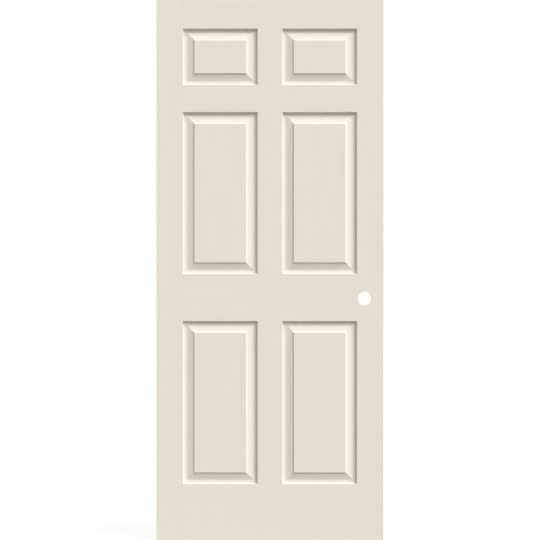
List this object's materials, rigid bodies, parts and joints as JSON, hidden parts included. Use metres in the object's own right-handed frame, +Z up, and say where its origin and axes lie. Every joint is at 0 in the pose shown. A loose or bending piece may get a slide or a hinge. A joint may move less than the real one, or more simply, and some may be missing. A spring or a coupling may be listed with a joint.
{
  "type": "panelled door slab",
  "caption": "Moulded panelled door slab with raised fields, a hollow honeycomb core and a bored hole for a knob lock, ready to hang.",
  "frame": {"origin": "middle of the slab's bottom edge, halfway through its thickness", "axes": "+Z up along the slab's height, +X towards the lock edge, +Y from the front face to the back face"},
  "size_m": [0.854, 0.035, 2.032],
  "materials": {
    "painted_skin": "satin",
    "softwood": "matte",
    "core_paper": "matte",
    "staple_wire": "satin"
  },
  "bodies": {
    "root": {"front_skin": "painted_skin", "back_skin": "painted_skin", "hinge_stile": "softwood", "lock_stile": "softwood", "top_rail": "softwood", "bottom_rail": "softwood", "lock_block": "softwood", "honeycomb_core": "core_paper", "frame_staples": "staple_wire"}
  },
  "joints": []
}
